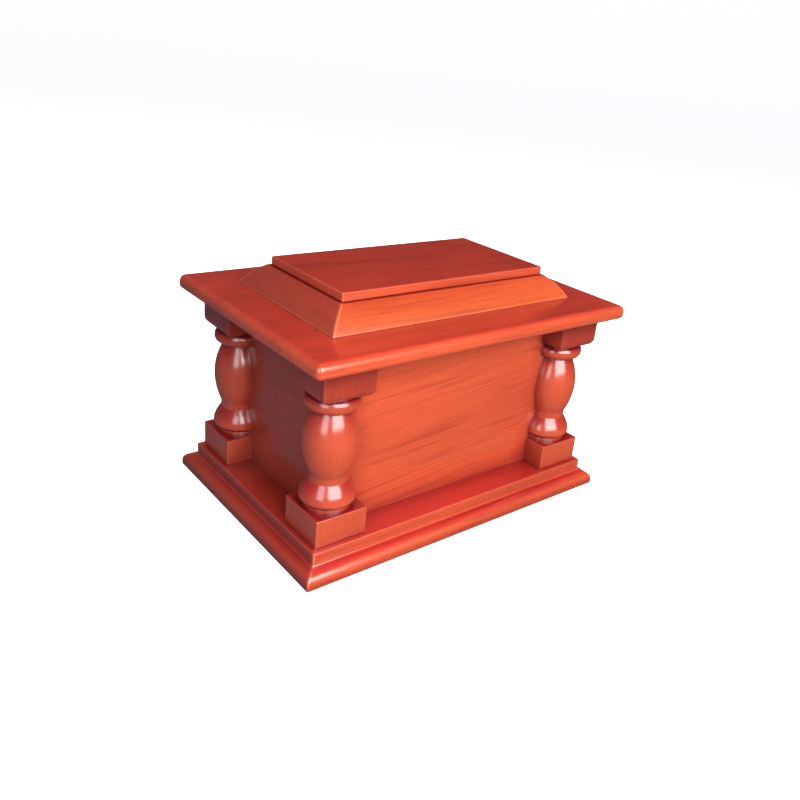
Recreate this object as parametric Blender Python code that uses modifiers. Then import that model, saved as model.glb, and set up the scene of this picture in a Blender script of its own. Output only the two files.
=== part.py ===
"""Cremation urn box: a lacquered wooden casket with turned corner columns and a lift-off lid.

Metres, +Z up. +X runs along the length, and -Y is the front. The origin is on the ground,
under the middle of the base.
"""

import math

import bmesh
import bpy
from mathutils import Matrix

# Glue line or resting gap between pieces that touch
GAP = 0.0003

# Box that holds the ashes, measured over its walls
BOX_LENGTH = 0.2285
BOX_DEPTH = 0.1350
WALL_HEIGHT = 0.1360
WALL_THICKNESS = 0.0100

# Corner columns, turned from square stock whose axis is the corner of the box
COLUMN_STOCK = 0.0425
PLINTH_HEIGHT = 0.0218
CAPITAL_HEIGHT = 0.0273
CAPITAL_ROUND = 0.0068
FOOT_RING_RADIUS = 0.0177
FOOT_RING_HEIGHT = 0.0028
GROOVE_RADIUS = 0.0168
GROOVE_HEIGHT = 0.0006
BULB_RADIUS = 0.0209
BULB_LOWER_HEIGHT = 0.0038
BULB_UPPER_HEIGHT = 0.0136
WAIST_RADIUS = 0.0149
WAIST_HEIGHT = 0.0046
VASE_RADIUS = 0.0203
VASE_WIDEST_SHARE = 0.48
NECK_RADIUS = 0.0145
NECK_HEIGHT = 0.0054
ECHINUS_RADIUS = 0.0204
ECHINUS_HEIGHT = 0.0115
NECKING_RADIUS = 0.0198
NECKING_HEIGHT = 0.0030

# Base frame of mitred moulding, and the floor in its rebate
BASE_HEIGHT = 0.0222
COLUMN_SETBACK = 0.0045
FOOT_BAND_HEIGHT = 0.0038
OVOLO_PROJECTION = 0.0078
OVOLO_HEIGHT = 0.0077
COVE_RADIUS = 0.0020
FLOOR_THICKNESS = 0.0100
FLOOR_REBATE = 0.0060

# Lid: slab, bevelled frame and raised panel
LID_OVERHANG = 0.0150
SLAB_THICKNESS = 0.0115
SLAB_TOP_ROUND = 0.0042
SLAB_BOTTOM_ROUND = 0.0020
SLAB_CORNER_ROUND = 0.0030
LID_STEP_HEIGHT = 0.0030
LID_STEP_CLEARANCE = 0.0010
BEVEL_END_MARGIN = 0.0335
BEVEL_SIDE_MARGIN = 0.0362
BEVEL_HEIGHT = 0.0169
BEVEL_RUN = 0.0157
BEVEL_CROWN = 0.0012
BEVEL_STRIP_WIDTH = 0.0300
PANEL_LEDGE = 0.0026
PANEL_THICKNESS = 0.0065

# Eased sharp edges, and how finely round shapes are cut
ARRIS = 0.0006
TURNED_STEPS = 32
ARC_STEPS = 6
ROUND_STEPS = 3
# How far one shape reaches into another that it is joined to
BITE = 0.0010
# Points closer than this are one point
WELD = 0.00001

# Heights and outlines that follow from the sizes above
BASE_PROJECTION = OVOLO_PROJECTION + COVE_RADIUS
COLUMN_REACH = COLUMN_STOCK / 2
BASE_LENGTH = BOX_LENGTH + 2 * (COLUMN_REACH + COLUMN_SETBACK + BASE_PROJECTION)
BASE_DEPTH = BOX_DEPTH + 2 * (COLUMN_REACH + COLUMN_SETBACK + BASE_PROJECTION)
BASE_STRIP_WIDTH = BASE_PROJECTION + COLUMN_SETBACK + COLUMN_REACH + WALL_THICKNESS + FLOOR_REBATE
WALL_BOTTOM = BASE_HEIGHT + GAP
LID_BOTTOM = WALL_BOTTOM + WALL_HEIGHT + GAP
SLAB_LENGTH = BOX_LENGTH + COLUMN_STOCK + 2 * LID_OVERHANG
SLAB_DEPTH = BOX_DEPTH + COLUMN_STOCK + 2 * LID_OVERHANG
BEVEL_LENGTH = SLAB_LENGTH - 2 * BEVEL_END_MARGIN
BEVEL_DEPTH = SLAB_DEPTH - 2 * BEVEL_SIDE_MARGIN
PANEL_LENGTH = BEVEL_LENGTH - 2 * (BEVEL_RUN + PANEL_LEDGE)
PANEL_DEPTH = BEVEL_DEPTH - 2 * (BEVEL_RUN + PANEL_LEDGE)

# The four sides, as quarter turns from the front
SIDES = {"front": 0, "right": 1, "back": 2, "left": 3}
# A column's rebate faces +X and +Y before its quarter turns
COLUMNS = {
    "column_front_left": (-1, -1, 0),
    "column_front_right": (1, -1, 1),
    "column_back_right": (1, 1, 2),
    "column_back_left": (-1, 1, 3),
}

# Stained wood under gloss lacquer, linear red, green and blue
BASE_COLOUR = (0.52, 0.060, 0.022)
WALL_COLOUR = (0.60, 0.078, 0.027)
COLUMN_COLOUR = (0.50, 0.055, 0.020)
LID_COLOUR = (0.58, 0.072, 0.025)
FLOOR_COLOUR = (0.42, 0.120, 0.045)
LACQUER_ROUGHNESS = 0.18
BARE_ROUGHNESS = 0.55


def clear_scene():
    for old in list(bpy.data.objects):
        bpy.data.objects.remove(old, do_unlink=True)


def new_collection(name):
    collection = bpy.data.collections.new(name)
    bpy.context.scene.collection.children.link(collection)
    return collection


def wood(name, colour, roughness):
    material = bpy.data.materials.new(name)
    material.use_nodes = True
    shader = material.node_tree.nodes["Principled BSDF"]
    shader.inputs["Base Color"].default_value = (*colour, 1.0)
    shader.inputs["Roughness"].default_value = roughness
    shader.inputs["Metallic"].default_value = 0.0
    return material


def mesh_object(name, mesh, collection):
    piece = bpy.data.objects.new(name, mesh)
    collection.objects.link(piece)
    return piece


def bmesh_object(name, shape, collection):
    bmesh.ops.recalc_face_normals(shape, faces=shape.faces[:])
    if shape.calc_volume(signed=True) < 0:
        bmesh.ops.reverse_faces(shape, faces=shape.faces[:])
    mesh = bpy.data.meshes.new(name)
    shape.to_mesh(mesh)
    shape.free()
    return mesh_object(name, mesh, collection)


def smooth(mesh):
    mesh.shade_smooth()
    mesh.set_sharp_from_angle(angle=math.radians(32))


def box_shape(length, depth, height, bottom=0.0):
    """A box centred on Z, standing on the height named bottom."""
    shape = bmesh.new()
    place = Matrix.Translation((0, 0, bottom + height / 2))
    bmesh.ops.create_cube(shape, size=1.0, matrix=place @ Matrix.Diagonal((length, depth, height, 1)))
    return shape


def edges_where(shape, test):
    return [edge for edge in shape.edges if test(edge.verts[0].co, edge.verts[1].co)]


def round_edges(shape, edges, radius, steps):
    bmesh.ops.bevel(
        shape, geom=edges, offset=radius, segments=steps, profile=0.5, affect="EDGES", clamp_overlap=True
    )


def ease_edges(shape):
    """Takes the sharpness off every edge of a plain board."""
    round_edges(shape, shape.edges[:], ARRIS, 1)


def arc(centre_x, centre_y, radius_x, radius_y, start, end, steps=ARC_STEPS):
    """Points on an ellipse's arc, with angles in degrees."""
    points = []
    for step in range(steps + 1):
        angle = math.radians(start + (end - start) * step / steps)
        points.append((centre_x + radius_x * math.cos(angle), centre_y + radius_y * math.sin(angle)))
    return points


def shallow_arc(start, end, crown, steps=ARC_STEPS):
    """Points from start to end on a circle that bulges to the left of the way by crown."""
    chord_x, chord_y = end[0] - start[0], end[1] - start[1]
    chord = math.hypot(chord_x, chord_y)
    radius = (chord * chord / 4 + crown * crown) / (2 * crown)
    points = []
    for step in range(steps + 1):
        along = chord * step / steps
        rise = math.sqrt(radius * radius - (along - chord / 2) ** 2) - (radius - crown)
        points.append((
            start[0] + (chord_x * along - chord_y * rise) / chord,
            start[1] + (chord_y * along + chord_x * rise) / chord,
        ))
    return points


def mitred_strip(name, outline, length, offset, turns, collection):
    """A strip of moulding with mitred ends, on the side that quarter turns from the front give.

    The outline's first number runs inwards from the strip's outer face, its second upwards.
    Offset is the distance from the middle of the frame to that face.
    """
    curve = bpy.data.curves.new(name, "CURVE")
    curve.dimensions = "2D"
    curve.fill_mode = "BOTH"
    curve.extrude = length / 2
    spline = curve.splines.new("POLY")
    spline.points.add(len(outline) - 1)
    for point, (inwards, up) in zip(spline.points, outline):
        point.co = (inwards, up, 0, 1)
    spline.use_cyclic_u = True
    guide = mesh_object(name + "_guide", curve, collection)

    # Inwards becomes +Y, upwards +Z, and the length +X
    upright = Matrix(((0, 0, 1, 0), (1, 0, 0, -offset), (0, 1, 0, 0), (0, 0, 0, 1)))
    guide.matrix_world = upright
    bpy.context.view_layer.update()
    graph = bpy.context.evaluated_depsgraph_get()
    plain = bpy.data.meshes.new_from_object(guide.evaluated_get(graph))

    shape = bmesh.new()
    shape.from_mesh(plain)
    shape.transform(guide.matrix_world)
    bpy.data.objects.remove(guide, do_unlink=True)
    bpy.data.meshes.remove(plain)
    bmesh.ops.remove_doubles(shape, verts=shape.verts[:], dist=WELD)
    for end in (-1, 1):
        cut_mitre(shape, (end * length / 2, -offset, 0), (end, 1, 0))
    shape.transform(Matrix.Rotation(turns * math.pi / 2, 4, "Z"))
    piece = bmesh_object(name, shape, collection)
    smooth(piece.data)
    return piece


def cut_mitre(shape, corner, outwards):
    """Cuts off what lies beyond the mitre through a corner, half a glue line short of it."""
    size = math.hypot(outwards[0], outwards[1])
    normal = (outwards[0] / size, outwards[1] / size, 0)
    place = tuple(corner[axis] - normal[axis] * GAP / 2 for axis in range(3))
    everything = shape.verts[:] + shape.edges[:] + shape.faces[:]
    bmesh.ops.bisect_plane(
        shape, geom=everything, dist=WELD / 10, plane_co=place, plane_no=normal, clear_outer=True
    )
    bmesh.ops.holes_fill(shape, edges=[edge for edge in shape.edges if edge.is_boundary])


def frame_of_strips(prefix, outline, length, depth, material, collection, parent=None):
    for side, turns in SIDES.items():
        along, across = (length, depth) if turns % 2 == 0 else (depth, length)
        piece = mitred_strip(f"{prefix}_{side}", outline, along, across / 2, turns, collection)
        piece.data.materials.append(material)
        piece.parent = parent


def base_outline():
    """Section of the base moulding: foot band, quarter round, cove, fillet and floor rebate."""
    cove_top = FOOT_BAND_HEIGHT + OVOLO_HEIGHT + COVE_RADIUS
    rebate_foot = BASE_HEIGHT - FLOOR_THICKNESS - GAP
    rebate_side = BASE_STRIP_WIDTH - FLOOR_REBATE
    outline = [(ARRIS, 0), (0, ARRIS)]
    outline += arc(OVOLO_PROJECTION, FOOT_BAND_HEIGHT, OVOLO_PROJECTION, OVOLO_HEIGHT, 180, 90)
    outline += arc(OVOLO_PROJECTION, cove_top, COVE_RADIUS, COVE_RADIUS, 270, 360, ROUND_STEPS)[1:]
    outline += [
        (BASE_PROJECTION, BASE_HEIGHT - ARRIS),
        (BASE_PROJECTION + ARRIS, BASE_HEIGHT),
        (rebate_side, BASE_HEIGHT),
        (rebate_side, rebate_foot),
        (BASE_STRIP_WIDTH, rebate_foot),
        (BASE_STRIP_WIDTH, 0),
    ]
    return outline


def add_base(collection):
    moulding = wood("base_wood", BASE_COLOUR, LACQUER_ROUGHNESS)
    frame_of_strips("base_moulding", base_outline(), BASE_LENGTH, BASE_DEPTH, moulding, collection)

    inside = 2 * (WALL_THICKNESS + GAP)
    shape = box_shape(BOX_LENGTH - inside, BOX_DEPTH - inside, FLOOR_THICKNESS)
    floor = bmesh_object("floor_board", shape, collection)
    floor.location = (0, 0, BASE_HEIGHT - FLOOR_THICKNESS)
    floor.data.materials.append(wood("floor_wood", FLOOR_COLOUR, BARE_ROUGHNESS))


def add_walls(collection):
    material = wood("wall_wood", WALL_COLOUR, LACQUER_ROUGHNESS)
    end_length = BOX_DEPTH - 2 * (WALL_THICKNESS + GAP)
    long_wall = (BOX_LENGTH, WALL_THICKNESS)
    end_wall = (WALL_THICKNESS, end_length)
    side_x = (BOX_LENGTH - WALL_THICKNESS) / 2
    side_y = (BOX_DEPTH - WALL_THICKNESS) / 2
    walls = {
        "wall_front": (long_wall, (0, -side_y)),
        "wall_back": (long_wall, (0, side_y)),
        "wall_left": (end_wall, (-side_x, 0)),
        "wall_right": (end_wall, (side_x, 0)),
    }
    for name, (size, place) in walls.items():
        wall = bmesh_object(name, box_shape(*size, WALL_HEIGHT), collection)
        wall.location = (*place, WALL_BOTTOM)
        wall.data.materials.append(material)


def column_profile():
    """Radius and height of the turned stretch, from the plinth block up into the capital."""
    ring_top = PLINTH_HEIGHT + FOOT_RING_HEIGHT
    bulb_foot = ring_top + GROOVE_HEIGHT
    bulb_widest = bulb_foot + BULB_LOWER_HEIGHT
    bulb_top = bulb_widest + BULB_UPPER_HEIGHT
    capital_foot = WALL_HEIGHT - CAPITAL_HEIGHT
    echinus_widest = capital_foot - NECKING_HEIGHT
    echinus_foot = echinus_widest - ECHINUS_HEIGHT
    vase_foot = bulb_top + WAIST_HEIGHT
    vase_top = echinus_foot - NECK_HEIGHT
    vase_height = vase_top - vase_foot
    vase_widest = vase_foot + vase_height * VASE_WIDEST_SHARE

    points = [(0, PLINTH_HEIGHT - BITE), (FOOT_RING_RADIUS, PLINTH_HEIGHT - BITE)]
    points += [(FOOT_RING_RADIUS, ring_top - ARRIS), (GROOVE_RADIUS, ring_top), (GROOVE_RADIUS, bulb_foot)]
    bulge = BULB_RADIUS - GROOVE_RADIUS
    points += arc(GROOVE_RADIUS, bulb_widest, bulge, BULB_LOWER_HEIGHT, -90, 0, ROUND_STEPS)[1:]

    # The bulb draws in along a cosine, as its flank is fuller than its top
    for step in range(1, ARC_STEPS + 1):
        share = step / ARC_STEPS
        radius = WAIST_RADIUS + (BULB_RADIUS - WAIST_RADIUS) * math.cos(share * math.pi / 2)
        points.append((radius, bulb_widest + share * BULB_UPPER_HEIGHT))

    vase_bulge = VASE_RADIUS - WAIST_RADIUS
    points += arc(WAIST_RADIUS, vase_widest, vase_bulge, vase_widest - vase_foot, -90, 0)
    shoulder = VASE_RADIUS - NECK_RADIUS
    points += arc(NECK_RADIUS, vase_widest, shoulder, vase_top - vase_widest, 0, 90)[1:]
    cup = ECHINUS_RADIUS - NECK_RADIUS
    points += arc(NECK_RADIUS, echinus_widest, cup, ECHINUS_HEIGHT, -90, 0, ROUND_STEPS + 1)
    points += [(NECKING_RADIUS, capital_foot), (NECKING_RADIUS, capital_foot + CAPITAL_ROUND)]
    points.append((0, capital_foot + CAPITAL_ROUND))
    return points


def turned_shaft(collection):
    """The turned stretch, as a profile swept round Z, from its top down its outer side."""
    profile = bmesh.new()
    corners = [profile.verts.new((radius, 0, height)) for radius, height in reversed(column_profile())]
    for upper, lower in zip(corners, corners[1:]):
        profile.edges.new((upper, lower))
    mesh = bpy.data.meshes.new("turned_shaft")
    profile.to_mesh(mesh)
    profile.free()
    shaft = mesh_object("turned_shaft", mesh, collection)
    screw = shaft.modifiers.new("turn", "SCREW")
    screw.axis = "Z"
    screw.steps = TURNED_STEPS
    screw.render_steps = TURNED_STEPS
    screw.use_merge_vertices = True
    screw.merge_threshold = WELD
    return shaft


def combine(target, other, operation):
    """Joins or cuts with a Boolean, and puts the other shape out of the render."""
    other.hide_render = True
    other.display_type = "WIRE"
    step = target.modifiers.new(other.name, "BOOLEAN")
    step.operation = operation
    step.solver = "EXACT"
    step.object = other


def column_mesh(helpers):
    """One column about its own axis, standing on zero, with its rebate towards +X and +Y."""
    shaft = turned_shaft(helpers)

    shape = box_shape(COLUMN_STOCK, COLUMN_STOCK, PLINTH_HEIGHT)
    ease_edges(shape)
    combine(shaft, bmesh_object("plinth_block", shape, helpers), "UNION")

    shape = box_shape(COLUMN_STOCK, COLUMN_STOCK, CAPITAL_HEIGHT, WALL_HEIGHT - CAPITAL_HEIGHT)
    foot = WALL_HEIGHT - CAPITAL_HEIGHT / 2
    round_edges(shape, edges_where(shape, lambda a, b: a.z < foot and b.z < foot), CAPITAL_ROUND, ARC_STEPS)
    combine(shaft, bmesh_object("capital_block", shape, helpers), "UNION")

    # The corner of the box, with a glue line, runs right through the column
    shape = box_shape(COLUMN_STOCK, COLUMN_STOCK, WALL_HEIGHT + 2 * BITE, -BITE)
    corner = bmesh_object("box_corner", shape, helpers)
    corner.location = (COLUMN_REACH - GAP, COLUMN_REACH - GAP, 0)
    combine(shaft, corner, "DIFFERENCE")

    bpy.context.view_layer.update()
    graph = bpy.context.evaluated_depsgraph_get()
    mesh = bpy.data.meshes.new_from_object(shaft.evaluated_get(graph))
    mesh.name = "column"
    smooth(mesh)
    for helper in list(helpers.objects):
        bpy.data.objects.remove(helper, do_unlink=True)
    return mesh


def add_columns(collection, helpers):
    mesh = column_mesh(helpers)
    mesh.materials.clear()
    mesh.materials.append(wood("column_wood", COLUMN_COLOUR, LACQUER_ROUGHNESS))
    for name, (side_x, side_y, turns) in COLUMNS.items():
        column = mesh_object(name, mesh, collection)
        column.location = (side_x * BOX_LENGTH / 2, side_y * BOX_DEPTH / 2, WALL_BOTTOM)
        column.rotation_euler = (0, 0, turns * math.pi / 2)


def bevel_outline():
    """Section of the lid's bevelled strip: a slightly crowned slope and a flat top."""
    outline = shallow_arc((0, 0), (BEVEL_RUN, BEVEL_HEIGHT), BEVEL_CROWN)
    outline += [(BEVEL_STRIP_WIDTH, BEVEL_HEIGHT), (BEVEL_STRIP_WIDTH, 0)]
    return outline


def add_slab(material, collection, helpers, lid):
    shape = box_shape(SLAB_LENGTH, SLAB_DEPTH, SLAB_THICKNESS)
    middle = SLAB_THICKNESS / 2
    upright = edges_where(shape, lambda a, b: (a.z < middle) != (b.z < middle))
    round_edges(shape, upright, SLAB_CORNER_ROUND, ROUND_STEPS)
    top = edges_where(shape, lambda a, b: a.z > middle and b.z > middle)
    round_edges(shape, top, SLAB_TOP_ROUND, ROUND_STEPS + 1)
    bottom = edges_where(shape, lambda a, b: max(a.z, b.z) < ARRIS)
    round_edges(shape, bottom, SLAB_BOTTOM_ROUND, ROUND_STEPS)
    slab = bmesh_object("lid_slab", shape, collection)
    slab.parent = lid
    slab.data.materials.append(material)

    # A step below the slab keeps the lid in place over the walls
    inside = 2 * (WALL_THICKNESS + LID_STEP_CLEARANCE)
    step_shape = box_shape(
        BOX_LENGTH - inside, BOX_DEPTH - inside, LID_STEP_HEIGHT + BITE, -LID_STEP_HEIGHT
    )
    step = bmesh_object("lid_step", step_shape, helpers)
    step.parent = lid
    combine(slab, step, "UNION")


def add_lid(collection, helpers):
    material = wood("lid_wood", LID_COLOUR, LACQUER_ROUGHNESS)
    lid = bpy.data.objects.new("lid", None)
    collection.objects.link(lid)
    lid.location = (0, 0, LID_BOTTOM)
    add_slab(material, collection, helpers, lid)

    bevel = bpy.data.objects.new("lid_bevel", None)
    collection.objects.link(bevel)
    bevel.parent = lid
    bevel.location = (0, 0, SLAB_THICKNESS + GAP)
    frame_of_strips("lid_bevel", bevel_outline(), BEVEL_LENGTH, BEVEL_DEPTH, material, collection, bevel)

    shape = box_shape(PANEL_LENGTH, PANEL_DEPTH, PANEL_THICKNESS)
    ease_edges(shape)
    panel = bmesh_object("lid_top_panel", shape, collection)
    panel.parent = bevel
    panel.location = (0, 0, BEVEL_HEIGHT + GAP)
    panel.data.materials.append(material)


def main():
    clear_scene()
    urn = new_collection("cremation_urn_box")
    helpers = new_collection("cutters")
    add_base(urn)
    add_walls(urn)
    add_columns(urn, helpers)
    add_lid(urn, helpers)
    bpy.context.view_layer.update()


main()
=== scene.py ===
"""The looks of a lacquered wooden urn box: stained, grained and glossy, on a pale floor.

Every piece replaces the solid of the same name with a finer one, in metres, in the frame's
own axes: +Z up, +X along the length, -Y the front.
"""

import math

import bmesh
import bpy
from mathutils import Euler, Matrix, Vector


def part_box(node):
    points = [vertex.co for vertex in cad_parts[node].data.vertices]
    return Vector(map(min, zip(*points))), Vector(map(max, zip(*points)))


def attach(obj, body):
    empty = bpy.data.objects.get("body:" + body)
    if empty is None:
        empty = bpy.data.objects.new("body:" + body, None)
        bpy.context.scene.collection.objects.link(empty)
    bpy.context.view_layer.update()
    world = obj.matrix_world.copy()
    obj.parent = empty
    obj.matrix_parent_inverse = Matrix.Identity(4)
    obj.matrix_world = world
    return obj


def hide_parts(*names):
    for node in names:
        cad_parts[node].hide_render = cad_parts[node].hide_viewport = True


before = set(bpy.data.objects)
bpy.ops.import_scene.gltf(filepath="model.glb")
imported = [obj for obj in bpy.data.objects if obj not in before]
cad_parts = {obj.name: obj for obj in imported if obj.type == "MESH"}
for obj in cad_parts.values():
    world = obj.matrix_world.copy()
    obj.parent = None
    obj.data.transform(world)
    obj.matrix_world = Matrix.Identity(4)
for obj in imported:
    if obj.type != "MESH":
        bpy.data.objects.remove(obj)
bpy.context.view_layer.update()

# Where pieces meet, a hairline stays open
JOINT = 0.00006
# Points this near a cut count as lying on it
CUT_TOLERANCE = 0.000001

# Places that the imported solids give
BASE_LOW, BASE_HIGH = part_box("base_moulding_front")
BASE_HALF_Y = -BASE_LOW.y
BASE_HALF_X = -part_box("base_moulding_left")[0].x
BASE_TOP = BASE_HIGH.z
BASE_STRIP_WIDTH = BASE_HIGH.y - BASE_LOW.y
FLOOR_LOW, FLOOR_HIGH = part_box("floor_board")
WALL_LOW, WALL_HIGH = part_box("wall_front")
WALL_THICKNESS = WALL_HIGH.y - WALL_LOW.y
BOX_HALF_X = WALL_HIGH.x
BOX_HALF_Y = -WALL_LOW.y
COLUMN_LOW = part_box("column_front_left")[0]
COLUMN_HALF = -COLUMN_LOW.x - BOX_HALF_X
SLAB_LOW, SLAB_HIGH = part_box("lid_slab")
BEVEL_LOW, BEVEL_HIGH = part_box("lid_bevel_front")
BEVEL_HALF_Y = -BEVEL_LOW.y
BEVEL_HALF_X = -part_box("lid_bevel_left")[0].x
BEVEL_STRIP_WIDTH = BEVEL_HIGH.y - BEVEL_LOW.y
PANEL_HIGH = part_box("lid_top_panel")[1]

# Base moulding, from the foot up
FOOT_BAND_HEIGHT = 0.0038
OVOLO_PROJECTION = 0.0078
OVOLO_HEIGHT = 0.0077
COVE_RADIUS = 0.0020
FLOOR_REBATE = 0.0060

# Column, from the plinth block up, measured from the column's foot
PLINTH_HEIGHT = 0.0218
CAPITAL_HEIGHT = 0.0273
CAPITAL_ROUND = 0.0068
FOOT_RING_RADIUS = 0.0177
FOOT_RING_HEIGHT = 0.0028
GROOVE_RADIUS = 0.0168
GROOVE_HEIGHT = 0.0006
BULB_RADIUS = 0.0209
BULB_LOWER_HEIGHT = 0.0038
BULB_UPPER_HEIGHT = 0.0136
WAIST_RADIUS = 0.0149
WAIST_HEIGHT = 0.0046
VASE_RADIUS = 0.0203
VASE_WIDEST_SHARE = 0.50
NECK_RADIUS = 0.0138
NECK_HEIGHT = 0.0008
BEAD_RADIUS = 0.0204
BEAD_LOWER_HEIGHT = 0.0058
BEAD_UPPER_HEIGHT = 0.0054
BEAD_TOP_RADIUS = 0.0172

# Lid
SLAB_TOP_ROUND = 0.0056
SLAB_BOTTOM_ROUND = 0.0034
SLAB_CORNER_ROUND = 0.0045
LID_STEP_HEIGHT = 0.0030
LID_STEP_CLEARANCE = 0.0010
UNDER_SLAB = SLAB_LOW.z + LID_STEP_HEIGHT
PANEL_TOP_ROUND = 0.0010
PANEL_BOTTOM_ROUND = 0.0013
BEVEL_RUN = 0.0157
BEVEL_CROWN = 0.0012

# Sanded edges under the lacquer
EDGE_ROUND = 0.0007
CREASE_ROUND = 0.0003
LEAST_CORNER = 0.0001
# Corners that turn less than this many degrees stay, and a rounding takes up to this share of
# the shorter side next to it
SOFTEN_ANGLE = 24
SOFTEN_SHARE = 0.42

# Steps in an eased edge, in a longer arc, in a board's corner and once round a turned shape
EDGE_STEPS = 3
ARC_STEPS = 14
CORNER_STEPS = 4
TURNED_STEPS = 112
# Edges that turn more than this many degrees are shaded sharp
SHARP_ANGLE = 34
# How far large flat faces decide the shading next to them, out of 100
FLAT_FACE_WEIGHT = 90

# Quarter turns from the front, and for the columns first the side of the box in X and in Y
SIDES = {"front": 0, "right": 1, "back": 2, "left": 3}
COLUMNS = {
    "front_left": (-1, -1, 0),
    "front_right": (1, -1, 1),
    "back_right": (1, 1, 2),
    "back_left": (-1, 1, 3),
}

# Where in the log each kind of piece is cut: across and through the grain, from the pith
FLAT_SAWN = (0.012, 0.085)
RIFT_SAWN = (0.070, 0.060)
TURNED = (0.036, 0.028)
# The walls' fibres rise a little towards one end, in degrees
WALL_GRAIN_SLOPE = 4
# A sample number tells one piece's place along the log, and one more is this much further
BOARD_STEP = 0.731
BASE_SAMPLE = 1.3
WALL_SAMPLE = 5.7
WALL_SAMPLE_STEP = 1.9
COLUMN_SAMPLE = 11.1
COLUMN_SAMPLE_STEP = 2.3
FLOOR_SAMPLE = 21.0
SLAB_SAMPLE = 31.0
BEVEL_SAMPLE = 41.0
PANEL_SAMPLE = 51.0
# Which of a board's axes runs along the fibres, which across them and which through the board
GRAIN_AXES = {
    "X": (0, 1, 2),
    "Y": (1, 0, 2),
    "Z": (2, 0, 1),
    "X_UPRIGHT": (0, 2, 1),
    "Y_UPRIGHT": (1, 2, 0),
}


def arc(centre_x, centre_y, radius_x, radius_y, start, end, steps=ARC_STEPS):
    """Points on an ellipse's arc, with angles in degrees."""
    points = []
    for step in range(steps + 1):
        angle = math.radians(start + (end - start) * step / steps)
        x = centre_x + radius_x * math.cos(angle)
        y = centre_y + radius_y * math.sin(angle)
        points.append((x, y))
    return points


def circle(radius):
    """Points round a circle, each of them once."""
    return arc(0, 0, radius, radius, 0, 360, TURNED_STEPS)[:-1]


def shallow_arc(start, end, crown):
    """Points from start to end on a circle that bulges to the left of the way by crown."""
    chord_x, chord_y = end[0] - start[0], end[1] - start[1]
    chord = math.hypot(chord_x, chord_y)
    radius = (chord * chord / 4 + crown * crown) / (2 * crown)
    points = []
    for step in range(ARC_STEPS + 1):
        along = chord * step / ARC_STEPS
        rise = math.sqrt(radius * radius - (along - chord / 2) ** 2) - (radius - crown)
        points.append((
            start[0] + (chord_x * along - chord_y * rise) / chord,
            start[1] + (chord_y * along + chord_x * rise) / chord,
        ))
    return points


def soften(points, radius, closed):
    """Rounds each sharp corner of an outline, by less where its sides are short."""
    count = len(points)
    softened = []
    for index, here in enumerate(points):
        if not closed and index in (0, count - 1):
            softened.append(here)
            continue
        here = Vector(here)
        before = Vector(points[index - 1]) - here
        after = Vector(points[(index + 1) % count]) - here
        turn = math.pi - before.angle(after)
        if math.degrees(turn) < SOFTEN_ANGLE:
            softened.append(tuple(here))
            continue
        room = SOFTEN_SHARE * min(before.length, after.length)
        reach = min(radius * math.tan(turn / 2), room)
        start = here + before.normalized() * reach
        end = here + after.normalized() * reach
        for step in range(EDGE_STEPS + 1):
            share = step / EDGE_STEPS
            # A quadratic curve through the corner's two tangent points
            point = start.lerp(here, share).lerp(here.lerp(end, share), share)
            softened.append(tuple(point))
    return softened


def rounded_rectangle(half_x, half_y, radius):
    """Points round a rectangle with rounded corners, counter-clockwise from the right side."""
    points = []
    for side_x, side_y, start in ((1, 1, 0), (-1, 1, 90), (-1, -1, 180), (1, -1, 270)):
        centre_x, centre_y = side_x * (half_x - radius), side_y * (half_y - radius)
        points += arc(centre_x, centre_y, radius, radius, start, start + 90, CORNER_STEPS)
    return points


def loft(rings):
    """A closed solid through rings of points, each ring with as many points."""
    shape = bmesh.new()
    rows = [[shape.verts.new(point) for point in ring] for ring in rings]
    count = len(rows[0])
    for lower, upper in zip(rows, rows[1:]):
        for index in range(count):
            after = (index + 1) % count
            shape.faces.new((lower[index], lower[after], upper[after], upper[index]))
    shape.faces.new(rows[0])
    shape.faces.new(rows[-1])
    close(shape)
    return shape


def close(shape):
    """Turns every face outwards."""
    bmesh.ops.recalc_face_normals(shape, faces=shape.faces[:])
    if shape.calc_volume(signed=True) < 0:
        bmesh.ops.reverse_faces(shape, faces=shape.faces[:])


def board(half_x, half_y, profile, corner_radius):
    """A board whose edge follows a profile of inset and height, bottom to top."""
    rings = []
    for inset, height in profile:
        radius = max(corner_radius - inset, LEAST_CORNER)
        ring = rounded_rectangle(half_x - inset, half_y - inset, radius)
        rings.append([(x, y, height) for x, y in ring])
    return loft(rings)


def plain_profile(thickness, radius=EDGE_ROUND):
    """Edge of a plain board with all its edges eased."""
    profile = arc(radius, radius, radius, radius, 270, 180, EDGE_STEPS)
    profile += arc(radius, thickness - radius, radius, radius, 180, 90, EDGE_STEPS)
    return profile


def moulding_frame(outline, half_x, half_y, corner_radius):
    """A closed frame of moulding. The outline runs inwards and upwards from its foot's edge."""
    shape = bmesh.new()
    rows = []
    for inwards, up in outline:
        ring = rounded_rectangle(half_x - inwards, half_y - inwards, corner_radius)
        rows.append([shape.verts.new((x, y, up)) for x, y in ring])
    count = len(rows[0])
    for row, rise in zip(rows, rows[1:] + rows[:1]):
        for index in range(count):
            after = (index + 1) % count
            shape.faces.new((row[index], row[after], rise[after], rise[index]))
    close(shape)
    return shape


def cut(shape, place, normal):
    """Cuts off what lies beyond a plane, and closes the cut."""
    everything = shape.verts[:] + shape.edges[:] + shape.faces[:]
    bmesh.ops.bisect_plane(
        shape, geom=everything, dist=CUT_TOLERANCE, plane_co=place, plane_no=normal,
        clear_outer=True,
    )
    bmesh.ops.holes_fill(shape, edges=[edge for edge in shape.edges if edge.is_boundary])


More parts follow.
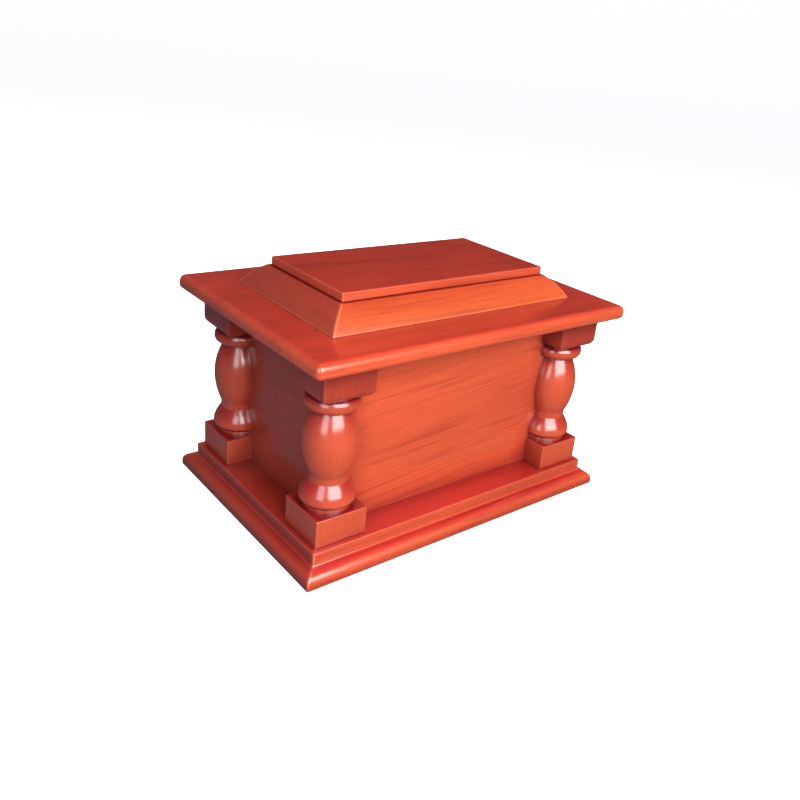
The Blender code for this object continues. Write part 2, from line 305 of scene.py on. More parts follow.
def mitred_side(frame_shape, turns, half_x, half_y):
    """One side of a moulding frame, cut free through its two mitres."""
    shape = frame_shape.copy()
    shape.transform(Matrix.Rotation(-turns * math.pi / 2, 4, "Z"))
    half_along, half_across = (half_x, half_y) if turns % 2 == 0 else (half_y, half_x)
    for end in (-1, 1):
        normal = Vector((end, 1, 0)).normalized()
        corner = Vector((end * half_along, -half_across, 0))
        cut(shape, corner - normal * JOINT / 2, normal)
    shape.transform(Matrix.Rotation(turns * math.pi / 2, 4, "Z"))
    close(shape)
    return shape


def piece(name, shape, node, material, grain, cut_from, sample, slope=0.0):
    """Makes the object, lays its grain and lets it stand for its solid.

    Grain is the axis that the fibres follow, and slope how many degrees they stray from it.
    Sample tells one board from another.
    """
    mesh = bpy.data.meshes.new(name)
    shape.to_mesh(mesh)
    shape.free()
    lay_grain(mesh, grain, cut_from, sample, slope)
    mesh.shade_smooth()
    mesh.set_sharp_from_angle(angle=math.radians(SHARP_ANGLE))
    mesh.materials.clear()
    mesh.materials.append(material)
    made = bpy.data.objects.new(name, mesh)
    bpy.context.scene.collection.objects.link(made)
    weighted = made.modifiers.new("flat_faces_stay_flat", "WEIGHTED_NORMAL")
    weighted.keep_sharp = True
    weighted.weight = FLAT_FACE_WEIGHT
    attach(made, "root")
    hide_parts(node)
    return made


def lay_grain(mesh, grain, cut_from, sample, slope):
    """Stores for each point its place in the log: along the fibres, then across and through."""
    run, stray = math.cos(math.radians(slope)), math.sin(math.radians(slope))
    along, across, through = GRAIN_AXES[grain]
    layer = mesh.attributes.new("in_the_log", "FLOAT_VECTOR", "POINT")
    place = []
    for vertex in mesh.vertices:
        length, width = vertex.co[along], vertex.co[across]
        place += [
            run * length + stray * width + sample * BOARD_STEP,
            run * width - stray * length + cut_from[0],
            vertex.co[through] + cut_from[1],
        ]
    layer.data.foreach_set("vector", place)


# Each part of the wood's figure: how fine it is along, across and through the log, per metre,
# then how many finer layers it has, and how strong they are
WAVER = ((2.2, 9.0, 9.0), 2.0, 0.5)
RIPPLE = ((14.0, 60.0, 60.0), 2.0, 0.5)
PATCHES = ((10.0, 90.0, 90.0), 3.0, 0.5)
FIBRES = ((30.0, 900.0, 900.0), 3.0, 0.6)
PORES = ((130.0, 2000.0, 2000.0), 2.0, 0.55)
BANDS = ((9.0, 230.0, 230.0), 2.0, 0.45)
CLOUDS = ((8.0, 22.0, 22.0), 2.0, 0.5)
PEEL = ((420.0, 420.0, 420.0), 2.0, 0.45)
SWELL = ((70.0, 70.0, 70.0), 1.0, 0.45)

# None of something and all of it
BLACK = (0.0, 0.0, 0.0)
WHITE = (1.0, 1.0, 1.0)

# Growth rings: how many a metre out from the pith has, and how far they stray, in metres. The
# stops say how much late wood there is through one ring, and where the rings fade in patches
RINGS_PER_METRE = 310.0
WAVER_REACH = 0.034
RIPPLE_REACH = 0.0050
RING_STOPS = [(0.0, BLACK), (0.50, (0.25, 0.25, 0.25)), (0.85, WHITE), (1.0, BLACK)]
PATCH_STOPS = [(0.38, (0.1, 0.1, 0.1)), (0.66, WHITE)]

# How much each part of the figure tells in the tone, and from which values on pores and streaks
# show. The stain is lightest at TONE_LIGHT and darkest at TONE_DARK
RING_TONE = 0.20
FIBRE_TONE = 0.34
CLOUD_TONE = 0.42
TONE_LIGHT = 0.26
TONE_DARK = 0.80
PORES_SHOW = (0.56, 0.68)
PORE_TONE = 0.20
PORE_TONE_IN_RINGS = 0.5
STREAKS_SHOW = (0.55, 0.68)
STREAK_TONE = 0.34

# Worn arrises, whose lighter stain also paints highlight lines, and crevices darkened as painted
# shade: how far away each is felt, in metres, and how much stain wears off, which differs from band
# to band
NEARNESS_RAYS = 6
ARRIS_REACH = 0.0016
CREVICE_REACH = 0.020
ARRIS_WEAR = 0.95
WEAR_LEAST = 0.1
WEAR_BY_BAND = 0.8

# Lacquer: how dull the stained wood below it is, and the relief of the grain and of the film
SHEEN_ROUGHNESS = 0.24
SHEEN_ROUGHNESS_BY_FIBRE = 0.20
PORE_DEPTH = -0.6
FIBRE_HEIGHT = 0.35
GRAIN_BUMP = 0.25
GRAIN_BUMP_M = 0.00012
SWELL_HEIGHT = 3.0
GRAIN_IN_FILM = 0.25
FILM_BUMP = 0.5
FILM_BUMP_M = 0.00006


def link(tree, source, target):
    tree.links.new(source, target)


def node(tree, kind, **values):
    made = tree.nodes.new(kind)
    for name, value in values.items():
        setattr(made, name, value)
    return made


def math_node(tree, operation, *values):
    """A step of arithmetic on numbers and sockets."""
    made = node(tree, "ShaderNodeMath", operation=operation)
    for socket, value in zip(made.inputs, values):
        if isinstance(value, (int, float)):
            socket.default_value = value
        else:
            link(tree, value, socket)
    return made.outputs["Value"]


def axis_of(tree, vector, axis):
    split = node(tree, "ShaderNodeSeparateXYZ")
    link(tree, vector, split.inputs["Vector"])
    return split.outputs[axis]


def noise(tree, log, scale, detail, roughness):
    """Soft noise. Scale says how fine it is along, across and through the log, per metre."""
    spread = node(tree, "ShaderNodeVectorMath", operation="MULTIPLY")
    link(tree, log, spread.inputs[0])
    spread.inputs[1].default_value = scale
    made = node(tree, "ShaderNodeTexNoise", noise_dimensions="3D")
    made.inputs["Scale"].default_value = 1.0
    made.inputs["Detail"].default_value = detail
    made.inputs["Roughness"].default_value = roughness
    link(tree, spread.outputs["Vector"], made.inputs["Vector"])
    return made.outputs["Fac"]


def ramp(tree, value, stops):
    made = node(tree, "ShaderNodeValToRGB")
    points = made.color_ramp.elements
    while len(points) < len(stops):
        points.new(0.5)
    for point, (place, colour) in zip(points, stops):
        point.position = place
        point.color = (*colour, 1.0)
    link(tree, value, made.inputs["Fac"])
    return made.outputs["Color"]


def fade_in(tree, value, start, end):
    """None up to start, all from end on, and evenly more between them."""
    return ramp(tree, value, [(start, BLACK), (end, WHITE)])


def blend(tree, mode, share, first, second):
    made = node(tree, "ShaderNodeMix", data_type="RGBA", blend_type=mode)
    in_use = [socket for socket in made.inputs if socket.enabled]
    for socket, value in zip(in_use, (share, first, second)):
        if isinstance(value, tuple):
            socket.default_value = (*value, 1.0)
        else:
            link(tree, value, socket)
    return next(socket for socket in made.outputs if socket.enabled)


def nearness(tree, inside, reach):
    """How near a place is to an arris, felt from inside the wood, or to a crevice, from outside."""
    made = node(
        tree, "ShaderNodeAmbientOcclusion",
        inside=inside, only_local=inside, samples=NEARNESS_RAYS,
    )
    made.inputs["Distance"].default_value = reach
    return math_node(tree, "SUBTRACT", 1.0, made.outputs["AO"])


def bump(tree, height, strength, distance, target):
    made = node(tree, "ShaderNodeBump")
    made.inputs["Strength"].default_value = strength
    made.inputs["Distance"].default_value = distance
    link(tree, height, made.inputs["Height"])
    link(tree, made.outputs["Normal"], target)


def growth_rings(tree, log):
    """How much late wood there is, in rings round the pith that waver slowly along the log."""
    waver = noise(tree, log, *WAVER)
    ripple = noise(tree, log, *RIPPLE)
    across, through = axis_of(tree, log, "Y"), axis_of(tree, log, "Z")
    across = math_node(tree, "MULTIPLY", across, across)
    through = math_node(tree, "MULTIPLY", through, through)
    radius = math_node(tree, "SQRT", math_node(tree, "ADD", across, through))
    radius = math_node(tree, "MULTIPLY_ADD", waver, WAVER_REACH, radius)
    radius = math_node(tree, "MULTIPLY_ADD", ripple, RIPPLE_REACH, radius)
    ring = math_node(tree, "FRACT", math_node(tree, "MULTIPLY", radius, RINGS_PER_METRE))
    strength = ramp(tree, noise(tree, log, *PATCHES), PATCH_STOPS)
    return math_node(tree, "MULTIPLY", ramp(tree, ring, RING_STOPS), strength)


def lacquered_wood(
    name, light, dark, streak, worn_highlight, upward_shade,
    upward_shade_span=(0.55, 0.97), crevice_shade_span=(0.10, 0.70), slab_shade_span=None, gloss=1.0, film_roughness=0.13,
    figure=1.0,
):
    """Stained open-grained wood under clear lacquer, cut out of a log in three dimensions.

    The upward shade tint paints shade, darker and redder, on what faces up; its span runs from
    upright to level. The crevice span does the same for painted shade in crevices, open to
    enclosed.
    The slab shade heights bound the painted shade that grows deeper under the slab.
    Figure says how strongly the growth rings and streaks show.
    """
    material = bpy.data.materials.new(name)
    material.use_nodes = True
    tree = material.node_tree
    shader = tree.nodes["Principled BSDF"]
    log = node(tree, "ShaderNodeAttribute", attribute_name="in_the_log").outputs["Vector"]

    # Rings and long thin fibres on unevenly taken stain, then pores and a few darker streaks
    late = math_node(tree, "MULTIPLY", growth_rings(tree, log), figure)
    fibre = noise(tree, log, *FIBRES)
    pores = fade_in(tree, noise(tree, log, *PORES), *PORES_SHOW)
    band = noise(tree, log, *BANDS)
    cloud = noise(tree, log, *CLOUDS)
    tone = math_node(tree, "MULTIPLY", fibre, FIBRE_TONE)
    tone = math_node(tree, "MULTIPLY_ADD", late, RING_TONE, tone)
    tone = math_node(tree, "MULTIPLY_ADD", cloud, CLOUD_TONE, tone)
    colour = ramp(tree, tone, [(TONE_LIGHT, light), (TONE_DARK, dark)])
    dash = math_node(tree, "MULTIPLY_ADD", late, PORE_TONE_IN_RINGS, PORE_TONE)
    dash = math_node(tree, "MULTIPLY", pores, dash)
    streaks = fade_in(tree, band, *STREAKS_SHOW)
    streaks = math_node(tree, "MULTIPLY", streaks, STREAK_TONE * figure)
    colour = blend(tree, "MIX", math_node(tree, "MAXIMUM", streaks, dash), colour, streak)

    # Painted shade: what faces up is made darker and redder, for how the light falls on it
    geometry = node(tree, "ShaderNodeNewGeometry")
    upwards = fade_in(tree, axis_of(tree, geometry.outputs["Normal"], "Z"), *upward_shade_span)
    colour = blend(tree, "MULTIPLY", upwards, colour, upward_shade)

    # Rubbed arrises also paint highlight lines; painted shade darkens crevices and under the slab
    wear_and_highlight = math_node(tree, "MULTIPLY", nearness(tree, True, ARRIS_REACH), ARRIS_WEAR)
    by_band = math_node(tree, "MULTIPLY_ADD", band, WEAR_BY_BAND, WEAR_LEAST)
    wear_and_highlight = math_node(tree, "MULTIPLY", wear_and_highlight, by_band)
    colour = blend(tree, "MIX", wear_and_highlight, colour, worn_highlight)
    # Painted shade: the nearer enclosing surfaces are, the darker the colour
    crevice = fade_in(tree, nearness(tree, False, CREVICE_REACH), *crevice_shade_span)
    colour = blend(tree, "MULTIPLY", crevice, colour, CREVICE_PAINTED_SHADE)
    if slab_shade_span:
        # Painted shade under the slab, growing deeper with height
        place = node(tree, "ShaderNodeTexCoord")
        slab_shade = fade_in(tree, axis_of(tree, place.outputs["Object"], "Z"), *slab_shade_span)
        colour = blend(tree, "MULTIPLY", slab_shade, colour, SLAB_PAINTED_SHADE)
    link(tree, colour, shader.inputs["Base Color"])

    rough = math_node(tree, "MULTIPLY_ADD", fibre, SHEEN_ROUGHNESS_BY_FIBRE, SHEEN_ROUGHNESS)
    link(tree, rough, shader.inputs["Roughness"])
    shader.inputs["Specular IOR Level"].default_value = 0.25
    shader.inputs["Coat Weight"].default_value = gloss
    shader.inputs["Coat Roughness"].default_value = film_roughness
    shader.inputs["Coat IOR"].default_value = 1.50

    # Open pores telegraph faintly, and the lacquer has a slight orange peel
    relief = math_node(tree, "MULTIPLY", fibre, FIBRE_HEIGHT)
    relief = math_node(tree, "MULTIPLY_ADD", pores, PORE_DEPTH, relief)
    bump(tree, relief, GRAIN_BUMP, GRAIN_BUMP_M, shader.inputs["Normal"])
    peel = noise(tree, log, *PEEL)
    swell = noise(tree, log, *SWELL)
    film = math_node(tree, "MULTIPLY_ADD", swell, SWELL_HEIGHT, peel)
    film = math_node(tree, "MULTIPLY_ADD", relief, GRAIN_IN_FILM, film)
    bump(tree, film, FILM_BUMP, FILM_BUMP_M, shader.inputs["Coat Normal"])
    return material


def base_outline():
    """Section of the base moulding: foot band, quarter round, cove, fillet and floor rebate."""
    projection = OVOLO_PROJECTION + COVE_RADIUS
    cove_top = FOOT_BAND_HEIGHT + OVOLO_HEIGHT + COVE_RADIUS
    rebate_side = BASE_STRIP_WIDTH - FLOOR_REBATE
    rebate_foot = FLOOR_LOW.z - JOINT
    outline = [(0, 0)]
    outline += arc(OVOLO_PROJECTION, FOOT_BAND_HEIGHT, OVOLO_PROJECTION, OVOLO_HEIGHT, 180, 90)
    outline += arc(OVOLO_PROJECTION, cove_top, COVE_RADIUS, COVE_RADIUS, 270, 360)[1:]
    outline += [
        (projection, BASE_TOP),
        (rebate_side, BASE_TOP),
        (rebate_side, rebate_foot),
        (BASE_STRIP_WIDTH, rebate_foot),
        (BASE_STRIP_WIDTH, 0),
    ]
    return soften(outline, EDGE_ROUND, closed=True)


def add_base(material, end_material, floor_material):
    ring = moulding_frame(base_outline(), BASE_HALF_X, BASE_HALF_Y, EDGE_ROUND)
    for sample, (side, turns) in enumerate(SIDES.items()):
        shape = mitred_side(ring, turns, BASE_HALF_X, BASE_HALF_Y)
        grain, wood = ("X", material) if turns % 2 == 0 else ("Y", end_material)
        name = f"base_moulding_{side}"
        piece(
            f"{name}_lacquered", shape, name, wood, grain, RIFT_SAWN,
            BASE_SAMPLE + sample,
        )
    ring.free()

    half_x = (FLOOR_HIGH.x - FLOOR_LOW.x) / 2
    half_y = (FLOOR_HIGH.y - FLOOR_LOW.y) / 2
    shape = board(half_x, half_y, plain_profile(FLOOR_HIGH.z - FLOOR_LOW.z), EDGE_ROUND)
    shape.transform(Matrix.Translation((0, 0, FLOOR_LOW.z)))
    piece(
        "floor_board_sealed", shape, "floor_board", floor_material, "X", FLAT_SAWN,
        FLOOR_SAMPLE,
    )


def add_walls(material, end_material):
    bottom = BASE_TOP + JOINT
    height = UNDER_SLAB - JOINT - bottom
    end_half = BOX_HALF_Y - WALL_THICKNESS - JOINT
    walls = {
        "front": (BOX_HALF_X, WALL_THICKNESS / 2, (0, -1), "X_UPRIGHT", material),
        "back": (BOX_HALF_X, WALL_THICKNESS / 2, (0, 1), "X_UPRIGHT", material),
        "left": (WALL_THICKNESS / 2, end_half, (-1, 0), "Y_UPRIGHT", end_material),
        "right": (WALL_THICKNESS / 2, end_half, (1, 0), "Y_UPRIGHT", end_material),
    }
    for sample, (side, (half_x, half_y, (way_x, way_y), grain, wood)) in enumerate(walls.items()):
        shape = board(half_x, half_y, plain_profile(height, CREASE_ROUND), CREASE_ROUND)
        centre = (way_x * (BOX_HALF_X - half_x), way_y * (BOX_HALF_Y - half_y), bottom)
        shape.transform(Matrix.Translation(centre))
        name = f"wall_{side}"
        piece(
            f"{name}_lacquered", shape, name, wood, grain, FLAT_SAWN,
            WALL_SAMPLE + WALL_SAMPLE_STEP * sample, WALL_GRAIN_SLOPE,
        )


def turned_outline(height):
    """Radius and height of the turned stretch, from inside the plinth up into the capital."""
    bite = CREASE_ROUND
    ring_top = PLINTH_HEIGHT + FOOT_RING_HEIGHT
    bulb_foot = ring_top + GROOVE_HEIGHT
    bulb_widest = bulb_foot + BULB_LOWER_HEIGHT
    bulb_top = bulb_widest + BULB_UPPER_HEIGHT
    capital_foot = height - CAPITAL_HEIGHT
    bead_widest = capital_foot - BEAD_UPPER_HEIGHT
    bead_foot = bead_widest - BEAD_LOWER_HEIGHT
    vase_foot = bulb_top + WAIST_HEIGHT
    vase_top = bead_foot - NECK_HEIGHT
    vase_widest = vase_foot + (vase_top - vase_foot) * VASE_WIDEST_SHARE

    points = [(FOOT_RING_RADIUS, PLINTH_HEIGHT - bite), (FOOT_RING_RADIUS, ring_top)]
    points += [(GROOVE_RADIUS, ring_top), (GROOVE_RADIUS, bulb_foot)]
    bulge = BULB_RADIUS - GROOVE_RADIUS
    points += arc(GROOVE_RADIUS, bulb_widest, bulge, BULB_LOWER_HEIGHT, -90, 0)[1:]
    for step in range(1, ARC_STEPS + 1):
        share = step / ARC_STEPS
        radius = WAIST_RADIUS + (BULB_RADIUS - WAIST_RADIUS) * math.cos(share * math.pi / 2)
        points.append((radius, bulb_widest + share * BULB_UPPER_HEIGHT))
    for step in range(-ARC_STEPS, ARC_STEPS + 1):
        share = abs(step) / ARC_STEPS
        end, end_radius = (vase_foot, WAIST_RADIUS) if step < 0 else (vase_top, NECK_RADIUS)
        radius = VASE_RADIUS - (VASE_RADIUS - end_radius) * share ** 2
        points.append((radius, vase_widest + (end - vase_widest) * share))
    bead = BEAD_RADIUS - NECK_RADIUS
    points += arc(NECK_RADIUS, bead_widest, bead, BEAD_LOWER_HEIGHT, -90, 0)
    bead = BEAD_RADIUS - BEAD_TOP_RADIUS
    points += arc(BEAD_TOP_RADIUS, bead_widest, bead, BEAD_UPPER_HEIGHT, 0, 90)[1:]
    points.append((BEAD_TOP_RADIUS, capital_foot + CAPITAL_ROUND))
    return soften(points, CREASE_ROUND, closed=False)


def solid_object(name, shape):
    mesh = bpy.data.meshes.new(name)
    shape.to_mesh(mesh)
    shape.free()
    made = bpy.data.objects.new(name, mesh)
    bpy.context.scene.collection.objects.link(made)
    return made


def column_shape():
    """One column about its own axis, standing on zero, with its rebate towards +X and +Y."""
    height = UNDER_SLAB - BASE_TOP - 2 * JOINT
    rings = []
    for radius, up in turned_outline(height):
        rings.append([(x, y, up) for x, y in circle(radius)])
    column = solid_object("column_shape", loft(rings))

    plinth = board(COLUMN_HALF, COLUMN_HALF, plain_profile(PLINTH_HEIGHT), EDGE_ROUND)
    foot = height - CAPITAL_HEIGHT
    profile = arc(CAPITAL_ROUND, foot + CAPITAL_ROUND, CAPITAL_ROUND, CAPITAL_ROUND, 270, 180)
    profile += arc(EDGE_ROUND, height - EDGE_ROUND, EDGE_ROUND, EDGE_ROUND, 180, 90, EDGE_STEPS)
    capital = square_capital(profile)
    corner = bmesh.new()
    reach = COLUMN_HALF - JOINT
    place = Matrix.Translation((reach, reach, height / 2))
    extent = Matrix.Diagonal((2 * COLUMN_HALF, 2 * COLUMN_HALF, 2 * height, 1))
    bmesh.ops.create_cube(corner, size=1, matrix=place @ extent)
    others = []
    steps = (
        ("plinth", plinth, "UNION"),
        ("capital", capital, "UNION"),
        ("corner", corner, "DIFFERENCE"),
    )
    for name, shape, operation in steps:
        other = solid_object(name, shape)
        others.append(other)
        step = column.modifiers.new(name, "BOOLEAN")
        step.operation = operation
        step.solver = "EXACT"
        step.object = other
    bpy.context.view_layer.update()
    graph = bpy.context.evaluated_depsgraph_get()
    mesh = bpy.data.meshes.new_from_object(column.evaluated_get(graph))
    for used in [column, *others]:
        bpy.data.objects.remove(used, do_unlink=True)
    shape = bmesh.new()
    shape.from_mesh(mesh)
    bpy.data.meshes.remove(mesh)
    return shape


def square_capital(profile):
    """The capital block, whose rounded lower edges meet in mitres at its corners."""
    rings = []
    for inset, up in profile:
        ring = rounded_rectangle(COLUMN_HALF - inset, COLUMN_HALF - inset, EDGE_ROUND)
        rings.append([(x, y, up) for x, y in ring])
    return loft(rings)


def add_columns(material):
    column = column_shape()
    for sample, (corner, (side_x, side_y, turns)) in enumerate(COLUMNS.items()):
        shape = column.copy()
        shape.transform(Matrix.Rotation(turns * math.pi / 2, 4, "Z"))
        axis_x, axis_y = side_x * BOX_HALF_X, side_y * BOX_HALF_Y
        shape.transform(Matrix.Translation((axis_x, axis_y, BASE_TOP + JOINT)))
        # Each column is cut from its own place in the log, measured from its own axis
        cut_from = (TURNED[0] - axis_x, TURNED[1] - axis_y)
        name = f"column_{corner}"
        piece(
            f"{name}_turned", shape, name, material, "Z", cut_from,
            COLUMN_SAMPLE + COLUMN_SAMPLE_STEP * sample,
        )
    column.free()


def slab_profile():
    """Edge of the slab, from its locating step out to its rounded rim and over its top."""
    step_inset = SLAB_HIGH.y - (BOX_HALF_Y - WALL_THICKNESS - LID_STEP_CLEARANCE)
    under, over = SLAB_BOTTOM_ROUND, SLAB_TOP_ROUND
    locating_step = [
        (step_inset + EDGE_ROUND, SLAB_LOW.z),
        (step_inset, SLAB_LOW.z),
        (step_inset, UNDER_SLAB),
        (under, UNDER_SLAB),
    ]
    profile = soften(locating_step, CREASE_ROUND, closed=False)[:-1]
    profile += arc(under, UNDER_SLAB + under, under, under, 270, 180)
    profile += arc(over, SLAB_HIGH.z - over, over, over, 180, 90)
    return profile


def bevel_outline():
    """Section of the lid's bevelled strip: a slightly crowned slope and a flat top."""
    height = BEVEL_HIGH.z - BEVEL_LOW.z
    outline = shallow_arc((0, 0), (BEVEL_RUN, height), BEVEL_CROWN)
    outline += [(BEVEL_STRIP_WIDTH, height), (BEVEL_STRIP_WIDTH, 0)]
    return soften(outline, EDGE_ROUND, closed=True)


def panel_profile(thickness):
    """Edge of the top panel, whose lower arris is rounded further than its upper one."""
    under, over = PANEL_BOTTOM_ROUND, PANEL_TOP_ROUND
    profile = arc(under, under, under, under, 270, 180)
    profile += arc(over, thickness - over, over, over, 180, 90, EDGE_STEPS)
    return profile


def add_lid(material, bevel_material, end_material):
    shape = board(SLAB_HIGH.x, SLAB_HIGH.y, slab_profile(), SLAB_CORNER_ROUND)
    piece(
        "lid_slab_lacquered", shape, "lid_slab", material, "X", FLAT_SAWN,
        SLAB_SAMPLE,
    )

    ring = moulding_frame(bevel_outline(), BEVEL_HALF_X, BEVEL_HALF_Y, EDGE_ROUND)
    ring.transform(Matrix.Translation((0, 0, SLAB_HIGH.z + JOINT)))
    for sample, (side, turns) in enumerate(SIDES.items()):
        shape = mitred_side(ring, turns, BEVEL_HALF_X, BEVEL_HALF_Y)
        grain, wood = ("X", bevel_material) if turns % 2 == 0 else ("Y", end_material)
        name = f"lid_bevel_{side}"
        piece(
            f"{name}_lacquered", shape, name, wood, grain, RIFT_SAWN,
            BEVEL_SAMPLE + sample,
        )
    ring.free()

    bottom = SLAB_HIGH.z + 2 * JOINT + BEVEL_HIGH.z - BEVEL_LOW.z
    shape = board(PANEL_HIGH.x, PANEL_HIGH.y, panel_profile(PANEL_HIGH.z - bottom), EDGE_ROUND)
    shape.transform(Matrix.Translation((0, 0, bottom)))
    piece(
        "lid_top_panel_lacquered", shape, "lid_top_panel", material, "X", FLAT_SAWN,
        PANEL_SAMPLE,
    )


# The photograph's view, worked out from the box's corners in its 800 x 800 frame
FRAME_WIDTH_PX = 800
PERSPECTIVE_CENTRE_PX = (430, 370)
FOCAL_LENGTH_PX = 816
SENSOR_WIDTH_MM = 36
CAMERA_PLACE = (-0.40305, -0.48998, 0.36525)
CAMERA_TURN_DEG = (67.375, -5.792, -39.175)
NEAREST_IN_VIEW = 0.02


def add_camera():
    data = bpy.data.cameras.new("camera")
    data.sensor_width = SENSOR_WIDTH_MM
    data.lens = SENSOR_WIDTH_MM * FOCAL_LENGTH_PX / FRAME_WIDTH_PX
    data.shift_x = 0.5 - PERSPECTIVE_CENTRE_PX[0] / FRAME_WIDTH_PX
    data.shift_y = PERSPECTIVE_CENTRE_PX[1] / FRAME_WIDTH_PX - 0.5
    data.clip_start = NEAREST_IN_VIEW
    camera = bpy.data.objects.new("camera", data)
    camera.location = CAMERA_PLACE
    camera.rotation_euler = Euler([math.radians(angle) for angle in CAMERA_TURN_DEG], "XYZ")
    bpy.context.scene.collection.objects.link(camera)
    bpy.context.scene.camera = camera


# The studio round the box's middle. Azimuth 0 is straight in front, and more is further right
MIDDLE_HEIGHT = 0.09
# Each light: azimuth and elevation in degrees, distance, width and height in metres, radiance
WINDOWS = {
    "front_window": (-5, 28, 0.95, 0.88, 0.66, 11.2),
    "side_window": (-60, 17, 0.51, 0.18, 0.26, 6.0),
}
# The lid and the columns would mirror these at the camera, so they only fill the shade
FILLS = {
    "right_fill": (90, 22, 1.20, 0.70, 0.70, 6.5),
    "back_fill": (180, 22, 1.20, 0.70, 0.70, 8.0),
    "top_fill": (-60, 75, 1.20, 0.70, 0.70, 2.2),
}
# A dim room, a little lighter below, and lighter and cooler to the left
ROOM_LIGHT = 0.04
ROOM_LEFT = (0.05, 0.07, 0.18)
ROOM_BELOW = 0.12
# The paper floor, its turn up into a wall, and how it looks
FLOOR_HUB = 0.001
FLOOR_RADIUS = 4.0
BACKDROP_CURVE = 2.0
BACKDROP_HEIGHT = 8.0
PAPER_WHITE = (0.92, 0.92, 0.92, 1)
PAPER_GLOW = 0.90


def window_light(name, azimuth, elevation, distance, width, height, radiance):
    """A rectangle that glows evenly, like a window or a softbox, and faces the box."""
    turn, rise = math.radians(azimuth), math.radians(elevation)
    flat = distance * math.cos(rise)
    up = MIDDLE_HEIGHT + distance * math.sin(rise)
    place = Vector((flat * math.sin(turn), -flat * math.cos(turn), up))
    aim = Vector((0, 0, MIDDLE_HEIGHT)) - place
    data = bpy.data.lights.new(name, "AREA")
    data.shape = "RECTANGLE"
    data.size, data.size_y = width, height
    data.energy = radiance * math.pi * width * height
    lamp = bpy.data.objects.new(name, data)
    lamp.location = place
    lamp.rotation_euler = aim.to_track_quat("-Z", "Y").to_euler()
    lamp.visible_camera = False
    bpy.context.scene.collection.objects.link(lamp)
    return lamp


def backdrop_floor():
    """A round floor of paper that turns up into a wall well away from the box."""
    curve = BACKDROP_CURVE
    profile = [(FLOOR_HUB, 0)] + arc(FLOOR_RADIUS, curve, curve, curve, 270, 360)
    profile.append((FLOOR_RADIUS + curve, BACKDROP_HEIGHT))
    shape = bmesh.new()
    rows = []
    for radius, height in profile:
        rows.append([shape.verts.new((x, y, height)) for x, y in circle(radius)])
    for row, outer in zip(rows, rows[1:]):
        for index in range(TURNED_STEPS):
            after = (index + 1) % TURNED_STEPS
            shape.faces.new((row[index], outer[index], outer[after], row[after]))
    shape.faces.new(rows[0])
    floor = solid_object("studio_floor", shape)
    floor.data.shade_smooth()
    return floor


def pale_paper():
    paper = bpy.data.materials.new("pale_paper")
    paper.use_nodes = True
    surface = paper.node_tree.nodes["Principled BSDF"]
    surface.inputs["Base Color"].default_value = PAPER_WHITE
    surface.inputs["Roughness"].default_value = 0.9
    surface.inputs["Specular IOR Level"].default_value = 0.1
    surface.inputs["Emission Color"].default_value = (1, 1, 1, 1)
    surface.inputs["Emission Strength"].default_value = PAPER_GLOW
    return paper


def behind(tree, way, axis):
    """How far a direction points towards an axis's negative end, and none for the other end."""
    reverse = math_node(tree, "MULTIPLY", axis_of(tree, way, axis), -1.0)
    return math_node(tree, "MAXIMUM", reverse, 0.0)


def dim_room():
    world = bpy.data.worlds.new("studio")
    world.use_nodes = True
    tree = world.node_tree
    way = node(tree, "ShaderNodeTexCoord").outputs["Generated"]
    left, below = behind(tree, way, "X"), behind(tree, way, "Z")
    room = node(tree, "ShaderNodeCombineXYZ")
    for channel, left_share in zip(("X", "Y", "Z"), ROOM_LEFT):
        glow = math_node(tree, "MULTIPLY_ADD", left, left_share, ROOM_LIGHT)
        glow = math_node(tree, "MULTIPLY_ADD", below, ROOM_BELOW, glow)
        link(tree, glow, room.inputs[channel])
    link(tree, room.outputs["Vector"], tree.nodes["Background"].inputs["Color"])
    return world


def add_studio():
    floor = backdrop_floor()
    floor.data.materials.append(pale_paper())
    # The paper takes shadows, and throws no light back on the box
    floor.visible_diffuse = False
    floor.visible_glossy = False
    bpy.context.scene.world = dim_room()
    for name, setting in WINDOWS.items():
        window_light(name, *setting)
    for name, setting in FILLS.items():
        window_light(name, *setting).visible_glossy = False
    bpy.context.scene.view_settings.view_transform = "Standard"


# Stained wood, linear red, green and blue
LIGHT_ORANGE = (0.50, 0.074, 0.028)
DEEP_RED = (0.27, 0.026, 0.012)
DEEPER_ORANGE = (0.46, 0.070, 0.028)
# The lid's end bevels take darker copies of the wood: painted shade
SHADED_SIDE_ORANGE = (0.38, 0.057, 0.024)
SHADED_SIDE_RED = (0.21, 0.021, 0.011)
BEVEL_ORANGE = (0.46, 0.084, 0.022)
BEVEL_RED = (0.27, 0.034, 0.010)
# The end pieces take darker copies of the wood: painted shade
SHADED_END_ORANGE = (0.36, 0.050, 0.023)
SHADED_END_RED = (0.19, 0.019, 0.010)
STREAK_RED = (0.15, 0.010, 0.006)
# Lighter stain on worn arrises, which also paints their highlight lines
WORN_HIGHLIGHT_ORANGE = (0.80, 0.24, 0.12)
# Painted shade: tops, the base's ledge and turned shoulders darker and redder, crevices and what
# lies under the slab darker
TOP_PAINTED_SHADE = (0.90, 0.50, 0.62)
LEDGE_PAINTED_SHADE = (0.86, 0.32, 0.60)
TURNED_PAINTED_SHADE = (0.68, 0.20, 0.45)
CREVICE_PAINTED_SHADE = (0.55, 0.32, 0.45)
SLAB_PAINTED_SHADE = (0.60, 0.48, 0.62)
BARE_TOP = (1.0, 1.0, 1.0)
BARE_LIGHT = (0.55, 0.20, 0.075)
BARE_DARK = (0.28, 0.085, 0.03)
BARE_STREAK = (0.14, 0.04, 0.015)
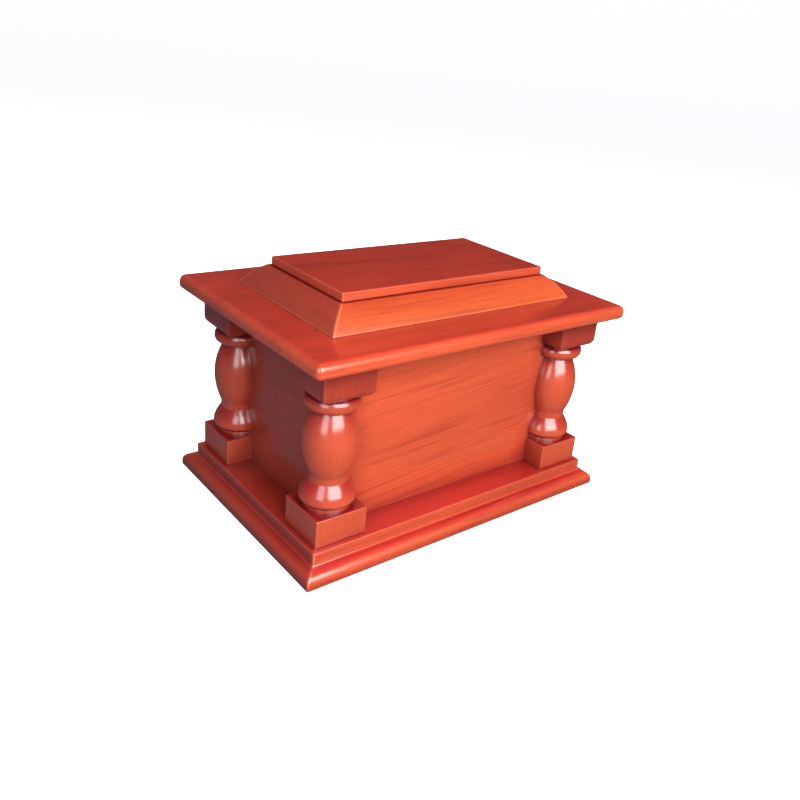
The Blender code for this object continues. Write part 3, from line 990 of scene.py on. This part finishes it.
BARE_WORN_HIGHLIGHT = (0.62, 0.30, 0.14)

# Between these heights painted shade darkens the walls and the columns under the slab
WALL_SLAB_SHADE = (UNDER_SLAB - 0.022, UNDER_SLAB + 0.012)
COLUMN_SLAB_SHADE = (UNDER_SLAB - 0.038, UNDER_SLAB - 0.020)

reds = (LIGHT_ORANGE, DEEP_RED, STREAK_RED, WORN_HIGHLIGHT_ORANGE)
deeper_reds = (DEEPER_ORANGE, DEEP_RED, STREAK_RED, WORN_HIGHLIGHT_ORANGE)
shaded_side_reds = (SHADED_SIDE_ORANGE, SHADED_SIDE_RED, STREAK_RED, WORN_HIGHLIGHT_ORANGE)
shaded_end_reds = (SHADED_END_ORANGE, SHADED_END_RED, STREAK_RED, WORN_HIGHLIGHT_ORANGE)
orange_reds = (BEVEL_ORANGE, BEVEL_RED, STREAK_RED, WORN_HIGHLIGHT_ORANGE)
base_wood = lacquered_wood("red_stained_base_wood", *reds, LEDGE_PAINTED_SHADE, figure=0.7)
# End mouldings and end bevels: darker wood as painted shade
shaded_end_base_wood = lacquered_wood("red_base_end_wood_in_painted_shade", *shaded_end_reds, TOP_PAINTED_SHADE, figure=0.6)
shaded_end_lid_wood = lacquered_wood("red_lid_end_wood_in_painted_shade", *shaded_side_reds, TOP_PAINTED_SHADE, figure=0.6)
wall_wood = lacquered_wood(
    "red_stained_wall_wood", *reds, TOP_PAINTED_SHADE, crevice_shade_span=(0.04, 0.50),
    slab_shade_span=WALL_SLAB_SHADE, figure=0.9,
)
# End walls: darker wood as painted shade
shaded_end_wood = lacquered_wood("red_end_wood_in_painted_shade", *shaded_end_reds, TOP_PAINTED_SHADE, figure=0.6)
turned_wood = lacquered_wood(
    "red_stained_turned_wood", *deeper_reds, TURNED_PAINTED_SHADE,
    upward_shade_span=(0.12, 0.65), crevice_shade_span=(0.05, 0.50),
    slab_shade_span=COLUMN_SLAB_SHADE, film_roughness=0.17, figure=0.3,
)
lid_wood = lacquered_wood("red_stained_lid_wood", *reds, TOP_PAINTED_SHADE, figure=0.8)
bevel_wood = lacquered_wood("red_stained_bevel_wood", *orange_reds, TOP_PAINTED_SHADE, figure=0.9)
bare = (BARE_LIGHT, BARE_DARK, BARE_STREAK, BARE_WORN_HIGHLIGHT)
floor_wood = lacquered_wood("sealed_floor_wood", *bare, BARE_TOP, gloss=0.15)
add_camera()
add_base(base_wood, shaded_end_base_wood, floor_wood)
add_walls(wall_wood, shaded_end_wood)
add_columns(turned_wood)
add_lid(lid_wood, bevel_wood, shaded_end_lid_wood)
add_studio()
